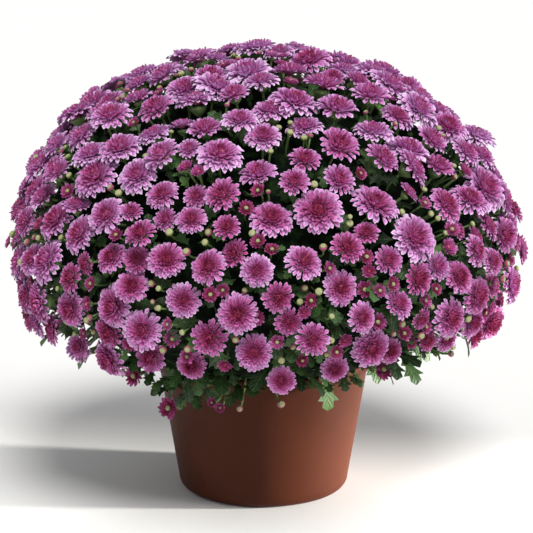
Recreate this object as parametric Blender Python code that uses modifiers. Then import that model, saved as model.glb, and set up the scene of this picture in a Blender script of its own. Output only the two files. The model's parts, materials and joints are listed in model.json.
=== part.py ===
# Pot chrysanthemum: a dome of pink double blooms on leafy stems, in a tapered terracotta coloured pot.
# Metres, +Z up. The origin is the centre of the pot's underside, and the front faces -Y.

import math

import bmesh
import bpy
import numpy as np
from mathutils import Matrix, Vector
from mathutils.bvhtree import BVHTree

# Pot
POT_HEIGHT = 0.150
POT_RIM_RADIUS = 0.1205
POT_BODY_TOP_RADIUS = 0.1170
POT_BASE_RADIUS = 0.0940
POT_BASE_ROUND = 0.012
POT_WALL = 0.0022
LIP_HEIGHT = 0.010
POT_SIDES = 36
DRAIN_HOLES = 4
DRAIN_RADIUS = 0.006
DRAIN_CIRCLE_RADIUS = 0.055

# Soil
SOIL_TOP = 0.132
SOIL_SIDES = 24
GAP = 0.0003

# Dome of blooms, measured to the petal tips
DOME_RADIUS = 0.276
DOME_MIDDLE = 0.270
DOME_RISE = 0.215
DOME_DROP = 0.170
SKIRT_HEIGHT = 0.207
FRONT_DROOP = 0.042
FRONT_DROOP_ANGLE = 258
FRONT_DROOP_WIDTH = 0.50
BLOOM_INSET = 0.005

# Blooms
SPRAYS = 46
OPEN_BLOOMS = 304
HALF_OPEN_BLOOMS = 40
SMALLEST_BLOOM, LARGEST_BLOOM = 0.0172, 0.0220
SHOW_BLOOM = 0.0240
HALF_OPEN_RADIUS = 0.0085
SPRAY_GAP = 0.0030
SEAT_GAP = 0.0006
RELAX_ROUNDS = 300
SEED = 41

# Green core that the leaves stand out of
CORE_DEPTH = 0.030
CORE_SIDES = 24
CORE_UNDERSIDE = 0.158
CORE_KNEE_RADIUS = 0.163
CORE_KNEE_HEIGHT = 0.154
CORE_GAP = 0.0005

# Leafy stems
STEMS = 8
STEM_FOOT_RADIUS = 0.046
STEM_HEAD_RADIUS = 0.080
STEM_THICKNESS = 0.0055
STEM_DEPTH = 0.045
LEAF_LENGTH = 0.046
LEAVES_PER_STEM = 4
SKIRT_LEAVES_PER_STEM = 4
BUDS_PER_STEM = 8
BUD_RADIUS = 0.0042
CLEARANCE = 0.0010

# Half a leaf's outline from root to tip: along and across, as shares of its length
LEAF_LOBES = ((0.0, 0.05), (0.20, 0.31), (0.40, 0.17), (0.62, 0.38), (0.72, 0.18))


def clear_scene():
    for obj in list(bpy.data.objects):
        bpy.data.objects.remove(obj)


def new_collection(name):
    found = bpy.data.collections.new(name)
    bpy.context.scene.collection.children.link(found)
    return found


def material(name, colour, roughness):
    made = bpy.data.materials.new(name)
    made.use_nodes = True
    shader = made.node_tree.nodes["Principled BSDF"]
    shader.inputs["Base Color"].default_value = (*colour, 1)
    shader.inputs["Roughness"].default_value = roughness
    shader.inputs["Metallic"].default_value = 0
    return made


def object_from(name, bm, collection, look=None):
    mesh = bpy.data.meshes.new(name)
    bm.to_mesh(mesh)
    bm.free()
    obj = bpy.data.objects.new(name, mesh)
    collection.objects.link(obj)
    if look:
        mesh.materials.append(look)
    return obj


def turned(name, profile, sides, collection, look):
    """A profile of (radius, height) points, spun once round the Z axis."""
    bm = bmesh.new()
    points = [bm.verts.new((radius, 0, height)) for radius, height in profile]
    for first, second in zip(points, points[1:]):
        bm.edges.new((first, second))
    obj = object_from(name, bm, collection, look)
    screw = obj.modifiers.new("Turn", "SCREW")
    screw.steps = sides
    screw.render_steps = sides
    screw.use_merge_vertices = True
    screw.merge_threshold = 0.00005
    screw.use_normal_calculate = True
    return obj


def applied(obj):
    """The object with its modifiers made into its mesh."""
    bpy.context.view_layer.update()
    mesh = bpy.data.meshes.new_from_object(obj.evaluated_get(bpy.context.evaluated_depsgraph_get()))
    obj.modifiers.clear()
    obj.data = mesh
    return obj


def hide_cutter(obj):
    obj.hide_render = True
    obj.display_type = "WIRE"


def polar(radius, angle, height):
    return Vector((radius * math.cos(angle), radius * math.sin(angle), height))


def rod(bm, foot, head, foot_radius, head_radius, sides):
    """A tapered rod between two points."""
    along = head - foot
    turn = along.to_track_quat("Z", "Y").to_matrix().to_4x4()
    turn.translation = (foot + head) / 2
    bmesh.ops.create_cone(bm, cap_ends=True, cap_tris=True, segments=sides, radius1=foot_radius,
                          radius2=head_radius, depth=along.length, matrix=turn)


def stem_angle(index):
    return 2 * math.pi * (index + 0.5) / STEMS


def stem_ends(index):
    """Foot in the soil and head in the core of one main stem."""
    angle = stem_angle(index)
    head = polar(STEM_HEAD_RADIUS, angle, CORE_UNDERSIDE + 0.020)
    surface = polar(STEM_FOOT_RADIUS, angle, SOIL_TOP)
    down = (surface - head).normalized()
    return surface + down * STEM_DEPTH, head


# Pot and soil


def pot_inner_radius(height):
    share = (height - POT_BASE_ROUND) / (POT_HEIGHT - POT_BASE_ROUND)
    outer = POT_BASE_RADIUS + (POT_BODY_TOP_RADIUS - POT_BASE_RADIUS) * share
    return outer - POT_WALL


def make_pot(parts, cutters, look):
    flat = POT_BASE_RADIUS - POT_BASE_ROUND
    round_corner = [
        (flat + POT_BASE_ROUND * math.cos(turn), POT_BASE_ROUND - POT_BASE_ROUND * math.sin(turn))
        for turn in (0, math.pi / 6, math.pi / 3, math.pi / 2)
    ]
    lip_foot = POT_HEIGHT - LIP_HEIGHT
    outside = [
        (POT_BODY_TOP_RADIUS - POT_WALL / 2, POT_HEIGHT),
        (POT_RIM_RADIUS - 0.001, POT_HEIGHT),
        (POT_RIM_RADIUS, POT_HEIGHT - 0.0015),
        (POT_RIM_RADIUS - 0.0005, lip_foot),
        (POT_BODY_TOP_RADIUS - 0.0010, lip_foot - 0.0015),
        *round_corner,
        (0, 0),
    ]
    inside = [
        (0, POT_WALL),
        (flat, POT_WALL),
        (pot_inner_radius(POT_BASE_ROUND), POT_BASE_ROUND),
        (pot_inner_radius(lip_foot), lip_foot),
        outside[0],
    ]
    pot = turned("pot", outside + inside, POT_SIDES, parts, look)
    for index in range(DRAIN_HOLES):
        bm = bmesh.new()
        foot = polar(DRAIN_CIRCLE_RADIUS, 2 * math.pi * (index + 0.5) / DRAIN_HOLES, -POT_WALL)
        rod(bm, foot, foot + Vector((0, 0, 3 * POT_WALL)), DRAIN_RADIUS, DRAIN_RADIUS, 8)
        cutter = object_from(f"drain_cutter_{index}", bm, cutters)
        hide_cutter(cutter)
        cut = pot.modifiers.new("Drain", "BOOLEAN")
        cut.operation = "DIFFERENCE"
        cut.object = cutter
    return pot


def make_soil(parts, cutters, look):
    flat = POT_BASE_RADIUS - POT_BASE_ROUND
    crown = 0.004
    profile = [
        (0, SOIL_TOP + crown),
        (0.060, SOIL_TOP + crown * 0.7),
        (pot_inner_radius(SOIL_TOP) - 2 * GAP, SOIL_TOP),
        (pot_inner_radius(POT_BASE_ROUND) - 2 * GAP, POT_BASE_ROUND),
        (flat - 2 * GAP, POT_WALL + GAP),
        (0, POT_WALL + GAP),
    ]
    soil = turned("potting_soil", profile, SOIL_SIDES, parts, look)
    for index in range(STEMS):
        foot, head = stem_ends(index)
        down = (foot - head).normalized()
        bm = bmesh.new()
        radius = STEM_THICKNESS + GAP * 1.3
        rod(bm, foot + down * GAP, head, radius, radius, 6)
        cutter = object_from(f"stem_hole_{index}", bm, cutters)
        hide_cutter(cutter)
        cut = soil.modifiers.new("Stem hole", "BOOLEAN")
        cut.operation = "DIFFERENCE"
        cut.object = cutter
    return soil


# Places of the blooms


def skirt_height(points):
    """How low the blooms reach: lowest just left of the front."""
    angle = np.arctan2(points[:, 1], points[:, 0])
    away = np.angle(np.exp(1j * (angle - math.radians(FRONT_DROOP_ANGLE))))
    return SKIRT_HEIGHT - FRONT_DROOP * np.exp(-((away / FRONT_DROOP_WIDTH) ** 2))


def half_axes(points, inset):
    up = np.where(points[:, 2] > DOME_MIDDLE, DOME_RISE, DOME_DROP) - inset
    flat = np.full(len(points), DOME_RADIUS - inset)
    return np.stack([flat, flat, up], axis=1)


def to_dome(points):
    """Each point moved onto the dome, and no lower than the skirt."""
    centre = np.array([0, 0, DOME_MIDDLE])
    axes = half_axes(points, BLOOM_INSET)
    unit = (points - centre) / axes
    unit /= np.linalg.norm(unit, axis=1, keepdims=True)
    low = (skirt_height(points) - DOME_MIDDLE) / axes[:, 2]
    below = (unit[:, 2] < low) & (unit[:, 2] < 0)
    spread = np.sqrt(1 - low**2) / np.maximum(np.hypot(unit[:, 0], unit[:, 1]), 1e-9)
    unit[below, 0] *= spread[below]
    unit[below, 1] *= spread[below]
    unit[below, 2] = low[below]
    return centre + unit * axes


def dome_normals(points):
    away = (points - [0, 0, DOME_MIDDLE]) / half_axes(points, BLOOM_INSET) ** 2
    return away / np.linalg.norm(away, axis=1, keepdims=True)


def spiral(count, shift):
    """Points spread evenly over the dome from its top to its skirt."""
    rank = (np.arange(count) + 0.5) / count
    lowest = (SKIRT_HEIGHT - DOME_MIDDLE) / DOME_DROP
    level = np.linspace(1, lowest, 400)
    band = np.hypot(DOME_RADIUS * level, np.where(level > 0, DOME_RISE, DOME_DROP) * np.sqrt(1 - level**2))
    height = np.interp(rank, np.cumsum(band) / band.sum(), level)
    turn = np.arange(count) * math.pi * (3 - math.sqrt(5)) + shift
    flat = np.sqrt(1 - height**2)
    unit = np.stack([flat * np.cos(turn), flat * np.sin(turn), height], axis=1)
    drop = np.where(height > 0, DOME_RISE, DOME_DROP)
    return to_dome(unit * np.stack([np.full(count, DOME_RADIUS)] * 2 + [drop], axis=1) + [0, 0, DOME_MIDDLE])


def bloom_radii(rng):
    radii = rng.uniform(SMALLEST_BLOOM, LARGEST_BLOOM, OPEN_BLOOMS)
    radii[rng.random(OPEN_BLOOMS) < 0.07] = SHOW_BLOOM
    half_open = HALF_OPEN_RADIUS * rng.uniform(0.8, 1.2, HALF_OPEN_BLOOMS)
    radii = np.concatenate([radii, half_open])
    return radii[rng.permutation(len(radii))]


def relaxed(points, radii, spray):
    """Blooms pushed apart until they clear each other and cover the dome evenly."""
    same = spray[:, None] == spray[None]
    reach = radii[:, None] + radii[None]
    np.fill_diagonal(reach, 0)
    want = np.where(same, reach * 0.93, reach + SPRAY_GAP * (reach > 0))
    for _ in range(RELAX_ROUNDS):
        away = points[:, None] - points[None]
        apart = np.linalg.norm(away, axis=2) + np.eye(len(points))
        push = np.clip(want - apart, 0, None) * 0.35
        push += np.clip(reach * np.where(same, 1.15, 1.35) - apart, 0, None) * 0.03
        points = to_dome(points + (away * (push / apart)[..., None]).sum(axis=1))
    return points


def trimmed(points, radii, spray):
    """Radii cut back where blooms of two sprays would still touch."""
    radii = radii.copy()
    other = spray[:, None] != spray[None]
    apart = np.linalg.norm(points[:, None] - points[None], axis=2)
    for _ in range(30):
        short = np.where(other, radii[:, None] + radii[None] + SPRAY_GAP / 2 - apart, 0)
        radii -= np.clip(short.max(axis=1), 0, None) * 0.5
    return radii


def facing_of(normals):
    """Blooms turn up towards the light, and none looks far down."""
    facing = normals + [0, 0, 0.30]
    facing[:, 2] = np.maximum(facing[:, 2], -0.05)
    return facing / np.linalg.norm(facing, axis=1, keepdims=True)


def parents_of(points, members):
    """The nearest bloom already joined, for each bloom of a spray, starting at its middle one."""
    middle = points[members].mean(axis=0)
    joined = [min(members, key=lambda i: np.linalg.norm(points[i] - middle))]
    parents = {joined[0]: None}
    while len(joined) < len(members):
        pairs = [(np.linalg.norm(points[i] - points[j]), i, j) for i in members if i not in parents for j in joined]
        _, child, parent = min(pairs)
        parents[child] = parent
        joined.append(child)
    return parents


def bloom_places():
    """Centres, normals, facings, radii and spray numbers of all the blooms."""
    rng = np.random.default_rng(SEED)
    radii = bloom_radii(rng)
    points = spiral(len(radii), 0.0)
    points = to_dome(points + rng.normal(0, 0.006, points.shape))
    heads = spiral(SPRAYS, 0.9)
    spray = np.linalg.norm(points[:, None] - heads[None], axis=2).argmin(axis=1)
    points = relaxed(points, radii, spray)
    normals = dome_normals(points)
    points = points + normals * rng.uniform(-0.0035, 0.0035, len(points))[:, None]
    radii = trimmed(points, radii, spray)
    return points, normals, facing_of(normals), radii, spray


# Solids of blooms, leaves and buds


def fan_solid(count):
    """A closed star: a rim of count points, with a fan to one point above it and one below."""
    bm = bmesh.new()
    bmesh.ops.create_cone(bm, cap_ends=True, cap_tris=True, segments=count, radius1=1, radius2=0, depth=2)
    bmesh.ops.rotate(bm, verts=bm.verts, cent=(0, 0, 0), matrix=Matrix.Rotation(math.pi, 3, "X"))
    flat = [math.hypot(v.co.x, v.co.y) for v in bm.verts]
    below = next(v for v, size in zip(bm.verts, flat) if size < 0.5 and v.co.z < 0)
    above = next(v for v, size in zip(bm.verts, flat) if size < 0.5 and v.co.z > 0)
    rim = [v for v, size in zip(bm.verts, flat) if size > 0.5]
    rim.sort(key=lambda v: math.atan2(v.co.y, v.co.x) % (2 * math.pi))
    return bm, below, above, rim


def petal_count(radius):
    if radius < 0.012:
        return 4
    return 6 if radius < 0.0205 else 7 if radius < 0.0230 else 8


def bloom_frame(facing, towards):
    """Two directions across the bloom, the first of them towards its neighbour."""
    across = towards - facing * towards.dot(facing)
    if across.length < 1e-6:
        across = facing.orthogonal()
    across.normalize()
    return across, facing.cross(across)


def bloom_solid(place, parent):
    """A bloom's solid: long lower petals and short upper ones by turns, over a calyx that reaches the core."""
    count = petal_count(place["radius"])
    half_open = place["radius"] < 0.012
    bm, below, above, rim = fan_solid(2 * count)
    centre, facing, radius = place["centre"], place["facing"], place["radius"]
    towards = parent["centre"] - centre if parent else Vector((0, 0, 1))
    across, side = bloom_frame(facing, towards)
    for index, vert in enumerate(rim):
        turn = math.pi * index / count
        upper = index % 2
        reach = radius * (0.72 if upper else 1.0)
        lift = radius * (0.24 if upper else -0.10)
        if half_open:
            reach = radius * (0.75 if upper else 1.0)
            lift = radius * (0.25 if upper else 0.55)
        spoke = across * math.cos(turn) + side * math.sin(turn)
        vert.co = centre + spoke * reach + facing * lift
    above.co = centre + facing * radius * 0.34
    below.co = place["seat"]
    if parent:
        back = (centre - parent["centre"])
        back -= parent["facing"] * back.dot(parent["facing"])
        deep = parent["centre"].lerp(parent["seat"], 0.15)
        rim[0].co = deep + back.normalized() * parent["radius"] * 0.32
    return bm


def leaf_solid(root, along, flat_side, length, droop):
    """A lobed leaf, thin at its edges and thickest along its middle."""
    outline = [(x, y) for x, y in LEAF_LOBES]
    outline = [(1.0, 0.0)] + outline[::-1] + [(x, -y) for x, y in outline]
    bm, below, above, rim = fan_solid(len(outline))
    across = flat_side.cross(along).normalized()
    up = along.cross(across).normalized()

    def place(x, y, lift):
        arch = lift - droop * x * x - 0.25 * abs(y) * droop
        return root + (along * x + across * y + up * arch) * length

    for vert, (x, y) in zip(rim, outline):
        vert.co = place(x, y, 0)
    above.co = place(0.5, 0, 0.028)
    below.co = place(0.5, 0, 0.004)
    return bm


def bud_solid(root, along, radius, length):
    """A round bud on its stalk, which narrows to the root."""
    bm, below, above, rim = fan_solid(4)
    across, side = bloom_frame(along, Vector((0.3, 0.2, 1)))
    for index, vert in enumerate(rim):
        turn = math.pi * index / 2
        vert.co = root + along * length + (across * math.cos(turn) + side * math.sin(turn)) * radius
    above.co = root + along * (length + radius)
    below.co = root
    return bm


def fused(name, solids, parts, look):
    """One object from overlapping solids, by one Boolean union on a collection."""
    work = new_collection(name + "_repeats")
    first = object_from(name, solids[0], parts, look)
    for index, bm in enumerate(solids[1:]):
        object_from(f"{name}_piece_{index}", bm, work)
    join = first.modifiers.new("Join", "BOOLEAN")
    join.operation = "UNION"
    join.operand_type = "COLLECTION"
    join.collection = work
    join.solver = "MANIFOLD"
    applied(first)
    for obj in list(work.objects):
        bpy.data.objects.remove(obj)
    bpy.data.collections.remove(work)
    return first


# Core, and what stands out of it


def core_profile():
    """Radius and height of the core from its top to its underside."""
    points = []
    for turn in (0, 20, 40, 58, 75, 90):
        angle = math.radians(turn)
        points.append(((DOME_RADIUS - CORE_DEPTH) * math.sin(angle),
                       DOME_MIDDLE + (DOME_RISE - CORE_DEPTH) * math.cos(angle)))
    for turn in (102, 113):
        angle = math.radians(turn)
        points.append(((DOME_RADIUS - CORE_DEPTH) * math.sin(angle),
                       DOME_MIDDLE + (DOME_DROP - CORE_DEPTH) * math.cos(angle)))
    points += [(CORE_KNEE_RADIUS, CORE_KNEE_HEIGHT), (0, CORE_UNDERSIDE)]
    return points


def underside_height(radius):
    """Height of the core's underside, which rises outside its knee."""
    edge_radius, edge_height = core_profile()[-3]
    share = max(0, radius - CORE_KNEE_RADIUS) / (edge_radius - CORE_KNEE_RADIUS)
    return CORE_KNEE_HEIGHT + share * (edge_height - CORE_KNEE_HEIGHT)


def whole_core(collection):
    return applied(turned("core", core_profile(), CORE_SIDES, collection, None))


def core_wedge(core, index):
    """The slice of the core that one leafy stem carries."""
    bm = bmesh.new()
    bm.from_mesh(core.data)
    half = math.pi / STEMS
    for turn, outward in ((stem_angle(index) - half, -1), (stem_angle(index) + half, 1)):
        normal = Vector((-math.sin(turn), math.cos(turn), 0)) * outward
        everything = bm.verts[:] + bm.edges[:] + bm.faces[:]
        cut = bmesh.ops.bisect_plane(bm, geom=everything, plane_co=-normal * CORE_GAP / 2,
                                     plane_no=normal, clear_outer=True)
        rim = [e for e in cut["geom_cut"] if isinstance(e, bmesh.types.BMEdge)]
        bmesh.ops.edgeloop_fill(bm, edges=rim)
    bmesh.ops.recalc_face_normals(bm, faces=bm.faces)
    return bm


def tree_of(bm):
    return BVHTree.FromBMesh(bm)


def sample_points(bm):
    """Corners and face middles, to measure clearances from."""
    return [v.co.copy() for v in bm.verts] + [f.calc_center_median() for f in bm.faces]


def clears_blooms(bm, bloom_tree):
    if tree_of(bm).overlap(bloom_tree):
        return False
    for point in sample_points(bm):
        if bloom_tree.find_nearest(point, CLEARANCE)[0] is not None:
            return False
    return True


def clears_pot_and_slice(bm, index):
    """Outside the pot, and between the planes of its own slice of the dome."""
    half = math.pi / STEMS
    for point in sample_points(bm):
        flat = math.hypot(point.x, point.y)
        if flat < POT_RIM_RADIUS + 0.003 and point.z < POT_HEIGHT + 0.004:
            return False
        turn = math.atan2(point.y, point.x) - stem_angle(index)
        turn = (turn + math.pi) % (2 * math.pi) - math.pi
        if flat * math.sin(half - abs(turn)) < 0.0015 or abs(turn) > half:
            return False
    return True


def draw_place(rng, index, lowest, highest):
    """A point and normal of the core in one slice, at a height share of the core's side."""
    turn = stem_angle(index) + rng.uniform(-0.9, 0.9) * math.pi / STEMS
    tip = math.radians(rng.uniform(lowest, highest))
    up = DOME_RISE if tip < math.pi / 2 else DOME_DROP
    flat = (DOME_RADIUS - CORE_DEPTH) * math.sin(tip)
    point = polar(flat, turn, DOME_MIDDLE + (up - CORE_DEPTH) * math.cos(tip))
    normal = polar(math.sin(tip) / DOME_RADIUS, turn, math.cos(tip) / up).normalized()
    return point, normal


def leaf_try(rng, index, lowest, highest, length):
    point, normal = draw_place(rng, index, lowest, highest)
    lean = Vector(rng.normal(0, 0.55, 3))
    along = (normal + lean).normalized()
    flat_side = Vector(rng.normal(0, 1, 3)).cross(along).normalized()
    size = length * rng.uniform(0.75, 1.1)
    return leaf_solid(point - along * size * 0.22, along, flat_side, size, rng.uniform(0.05, 0.3))


def skirt_leaf_try(rng, index):
    """A leaf that hangs out under the lowest blooms."""
    turn = stem_angle(index) + rng.uniform(-0.85, 0.85) * math.pi / STEMS
    radius = rng.uniform(0.134, 0.222)
    root = polar(radius, turn, underside_height(radius) + 0.005)
    outward = polar(1, turn + rng.uniform(-0.5, 0.5), rng.uniform(-1.6, -0.2))
    along = outward.normalized()
    size = LEAF_LENGTH * rng.uniform(0.9, 1.25)
    return leaf_solid(root - along * size * 0.12, along, Vector((0, 0, 1)), size, rng.uniform(0.1, 0.4))


def bud_try(rng, index):
    point, normal = draw_place(rng, index, 4, 112)
    along = (normal + Vector(rng.normal(0, 0.25, 3))).normalized()
    return bud_solid(point - along * 0.006, along, BUD_RADIUS, rng.uniform(0.026, 0.034))


def gather(count, attempts, make, index, bloom_tree):
    """The first solids that clear the blooms, the pot and the neighbouring slices."""
    kept = []
    for _ in range(attempts):
        if len(kept) == count:
            break
        bm = make()
        if clears_pot_and_slice(bm, index) and clears_blooms(bm, bloom_tree):
            kept.append(bm)
        else:
            bm.free()
    return kept


def make_leafy_stem(index, core, bloom_tree, parts, look):
    rng = np.random.default_rng(SEED + 100 + index)
    foot, head = stem_ends(index)
    stem = bmesh.new()
    rod(stem, foot, head, STEM_THICKNESS, STEM_THICKNESS * 0.8, 6)
    solids = [core_wedge(core, index), stem]
    wanted = (
        (LEAVES_PER_STEM, 900, lambda: leaf_try(rng, index, 6, 100, LEAF_LENGTH)),
        (SKIRT_LEAVES_PER_STEM, 500, lambda: skirt_leaf_try(rng, index)),
        (BUDS_PER_STEM, 600, lambda: bud_try(rng, index)),
    )
    for count, attempts, make in wanted:
        solids += gather(count, attempts, make, index, bloom_tree)
    return fused(f"leafy_stem_{index + 1}", solids, parts, look)


def seat_on(core_tree, centre, normal):
    """The point just above the core, straight in from a bloom."""
    hit = core_tree.ray_cast(centre, -normal)[0]
    if hit is None:
        hit = centre - normal * CORE_DEPTH
    return hit + normal * SEAT_GAP


def make_sprays(core_tree, parts, look):
    points, normals, facings, radii, spray = bloom_places()
    places = []
    for centre, normal, facing, radius in zip(points, normals, facings, radii):
        centre, normal = Vector(centre), Vector(normal)
        places.append({"centre": centre, "facing": Vector(facing), "radius": float(radius),
                       "seat": seat_on(core_tree, centre, normal)})
    for number in range(SPRAYS):
        members = [int(i) for i in np.flatnonzero(spray == number)]
        parents = parents_of(points, members)
        order = [i for i in parents if parents[i] is None] + [i for i in parents if parents[i] is not None]
        solids = [bloom_solid(places[i], None if parents[i] is None else places[parents[i]]) for i in order]
        fused(f"bloom_spray_{number + 1:02d}", solids, parts, look)


def tree_of_objects(objects):
    bm = bmesh.new()
    for obj in objects:
        bm.from_mesh(obj.data)
    found = tree_of(bm)
    bm.free()
    return found


def main():
    clear_scene()
    parts = new_collection("pot_chrysanthemum")
    cutters = new_collection("cutters")
    make_pot(parts, cutters, material("terracotta_plastic", (0.24, 0.085, 0.045), 0.42))
    make_soil(parts, cutters, material("soil", (0.035, 0.022, 0.014), 0.95))
    core = whole_core(cutters)
    hide_cutter(core)
    core_tree = tree_of_objects([core])
    make_sprays(core_tree, parts, material("petal", (0.53, 0.13, 0.38), 0.55))
    sprays = [obj for obj in parts.objects if obj.name.startswith("bloom_spray")]
    bloom_tree = tree_of_objects(sprays)
    foliage = material("foliage", (0.06, 0.15, 0.035), 0.6)
    for index in range(STEMS):
        make_leafy_stem(index, core, bloom_tree, parts, foliage)
    bpy.data.objects.remove(core)


main()
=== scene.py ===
import json
import math

import bmesh
import bpy
import numpy as np
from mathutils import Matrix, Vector

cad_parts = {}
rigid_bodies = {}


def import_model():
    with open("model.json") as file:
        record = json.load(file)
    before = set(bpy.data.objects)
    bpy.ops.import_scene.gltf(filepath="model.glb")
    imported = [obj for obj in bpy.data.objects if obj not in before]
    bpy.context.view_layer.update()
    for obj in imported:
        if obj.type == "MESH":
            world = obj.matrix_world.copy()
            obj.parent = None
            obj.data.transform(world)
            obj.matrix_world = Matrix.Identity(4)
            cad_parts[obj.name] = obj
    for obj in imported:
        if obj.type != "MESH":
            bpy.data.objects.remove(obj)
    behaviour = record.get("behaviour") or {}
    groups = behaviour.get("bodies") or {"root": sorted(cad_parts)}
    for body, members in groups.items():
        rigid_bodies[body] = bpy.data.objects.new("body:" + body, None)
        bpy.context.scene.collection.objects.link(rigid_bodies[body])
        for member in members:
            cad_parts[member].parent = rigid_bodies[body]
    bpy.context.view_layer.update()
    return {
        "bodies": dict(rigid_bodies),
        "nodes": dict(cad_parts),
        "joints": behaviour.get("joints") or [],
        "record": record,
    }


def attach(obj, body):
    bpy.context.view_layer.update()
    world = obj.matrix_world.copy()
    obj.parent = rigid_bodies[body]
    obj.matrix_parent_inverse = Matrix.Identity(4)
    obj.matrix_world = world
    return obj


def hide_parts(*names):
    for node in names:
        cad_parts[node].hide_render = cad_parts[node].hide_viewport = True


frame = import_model()
fullTurn = 2 * math.pi

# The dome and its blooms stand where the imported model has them, from the same driving sizes
dome = {
    "radius": 0.276, "middle": 0.270, "rise": 0.215, "drop": 0.170, "skirt": 0.207,
    "frontDroop": 0.042, "frontDroopAngle": 258, "frontDroopWidth": 0.50, "inset": 0.005,
    "sides": 8,
}

bloomSpread = {
    "sprays": 46, "open": 304, "halfOpen": 40, "smallest": 0.0172, "largest": 0.0220,
    "show": 0.0240, "halfOpenRadius": 0.0085, "sprayGap": 0.0030, "rounds": 300, "seed": 41,
}


def unitRows(rows):
    return rows / np.maximum(np.linalg.norm(rows, axis=1, keepdims=True), 1e-9)


def skirtHeight(points):
    # the lower edge hangs further down at the front left
    angle = np.arctan2(points[:, 1], points[:, 0])
    away = np.angle(np.exp(1j * (angle - math.radians(dome["frontDroopAngle"]))))
    return dome["skirt"] - dome["frontDroop"] * np.exp(-((away / dome["frontDroopWidth"]) ** 2))


def halfAxes(points):
    up = np.where(points[:, 2] > dome["middle"], dome["rise"], dome["drop"]) - dome["inset"]
    flat = np.full(len(points), dome["radius"] - dome["inset"])
    return np.stack([flat, flat, up], axis=1)


def toDome(points):
    # moves points onto the dome, whose underside is cut off at its skirt
    centre = np.array([0, 0, dome["middle"]])
    axes = halfAxes(points)
    unit = unitRows((points - centre) / axes)
    low = (skirtHeight(points) - dome["middle"]) / axes[:, 2]
    below = (unit[:, 2] < low) & (unit[:, 2] < 0)
    spread = np.sqrt(1 - low**2) / np.maximum(np.hypot(unit[:, 0], unit[:, 1]), 1e-9)
    unit[below, 0] *= spread[below]
    unit[below, 1] *= spread[below]
    unit[below, 2] = low[below]
    return centre + unit * axes


def domeNormals(points):
    return unitRows((points - [0, 0, dome["middle"]]) / halfAxes(points) ** 2)


def ringPoints(turn, radius, height):
    # one point, or a row of points, round the pot's axis
    return np.stack(np.broadcast_arrays(radius * np.cos(turn), radius * np.sin(turn), height), axis=-1)


def spiralPoints(count, shift):
    # points spread evenly over the dome from its top down to its skirt
    rank = (np.arange(count) + 0.5) / count
    lowest = (dome["skirt"] - dome["middle"]) / dome["drop"]
    level = np.linspace(1, lowest, 400)
    tall = np.where(level > 0, dome["rise"], dome["drop"])
    band = np.hypot(dome["radius"] * level, tall * np.sqrt(1 - level**2))
    height = np.interp(rank, np.cumsum(band) / band.sum(), level)
    turn = np.arange(count) * math.pi * (3 - math.sqrt(5)) + shift
    unit = ringPoints(turn, np.sqrt(1 - height**2), height)
    drop = np.where(height > 0, dome["rise"], dome["drop"])
    axes = np.stack([np.full(count, dome["radius"])] * 2 + [drop], axis=1)
    return toDome(unit * axes + [0, 0, dome["middle"]])


def bloomRadii(rng):
    plan = bloomSpread
    radii = rng.uniform(plan["smallest"], plan["largest"], plan["open"])
    radii[rng.random(plan["open"]) < 0.07] = plan["show"]
    halfOpen = plan["halfOpenRadius"] * rng.uniform(0.8, 1.2, plan["halfOpen"])
    radii = np.concatenate([radii, halfOpen])
    return radii[rng.permutation(len(radii))]


def relaxedPoints(points, radii, spray):
    # blooms push each other apart, and leave more room between sprays than within one
    same = spray[:, None] == spray[None]
    reach = radii[:, None] + radii[None]
    np.fill_diagonal(reach, 0)
    want = np.where(same, reach * 0.93, reach + bloomSpread["sprayGap"] * (reach > 0))
    for _ in range(bloomSpread["rounds"]):
        away = points[:, None] - points[None]
        apart = np.linalg.norm(away, axis=2) + np.eye(len(points))
        push = np.clip(want - apart, 0, None) * 0.35
        push += np.clip(reach * np.where(same, 1.15, 1.35) - apart, 0, None) * 0.03
        points = toDome(points + (away * (push / apart)[..., None]).sum(axis=1))
    return points


def trimmedRadii(points, radii, spray):
    # blooms of two sprays shrink until they clear each other
    radii = radii.copy()
    other = spray[:, None] != spray[None]
    apart = np.linalg.norm(points[:, None] - points[None], axis=2)
    for _ in range(30):
        short = np.where(other, radii[:, None] + radii[None] + bloomSpread["sprayGap"] / 2 - apart, 0)
        radii -= np.clip(short.max(axis=1), 0, None) * 0.5
    return radii


def facingOf(normals):
    facing = normals + [0, 0, 0.30]
    facing[:, 2] = np.maximum(facing[:, 2], -0.05)
    return unitRows(facing)


def bloomPlaces():
    rng = np.random.default_rng(bloomSpread["seed"])
    radii = bloomRadii(rng)
    points = spiralPoints(len(radii), 0.0)
    points = toDome(points + rng.normal(0, 0.006, points.shape))
    heads = spiralPoints(bloomSpread["sprays"], 0.9)
    spray = np.linalg.norm(points[:, None] - heads[None], axis=2).argmin(axis=1)
    points = relaxedPoints(points, radii, spray)
    normals = domeNormals(points)
    points = points + normals * rng.uniform(-0.0035, 0.0035, len(points))[:, None]
    radii = trimmedRadii(points, radii, spray)
    return {"points": points, "normals": normals, "facing": facingOf(normals), "radii": radii, "spray": spray}


# A form is a mesh kept as lists, so that one petal or leaf can be set down many times.
# For each list: where the mesh keeps it, in which field, its kind and how wide it is
meshLists = {
    "verts": ("vertices", "co", np.float32, 3), "edges": ("edges", "vertices", np.int32, 2),
    "sharp": ("edges", "use_edge_sharp", bool, 1),
    "loopVerts": ("loops", "vertex_index", np.int32, 1),
    "loopEdges": ("loops", "edge_index", np.int32, 1),
    "starts": ("polygons", "loop_start", np.int32, 1),
    "look": ("polygons", "material_index", np.int32, 1),
}
countedIn = {"edges": "verts", "loopVerts": "verts", "loopEdges": "edges", "starts": "loopVerts"}


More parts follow.
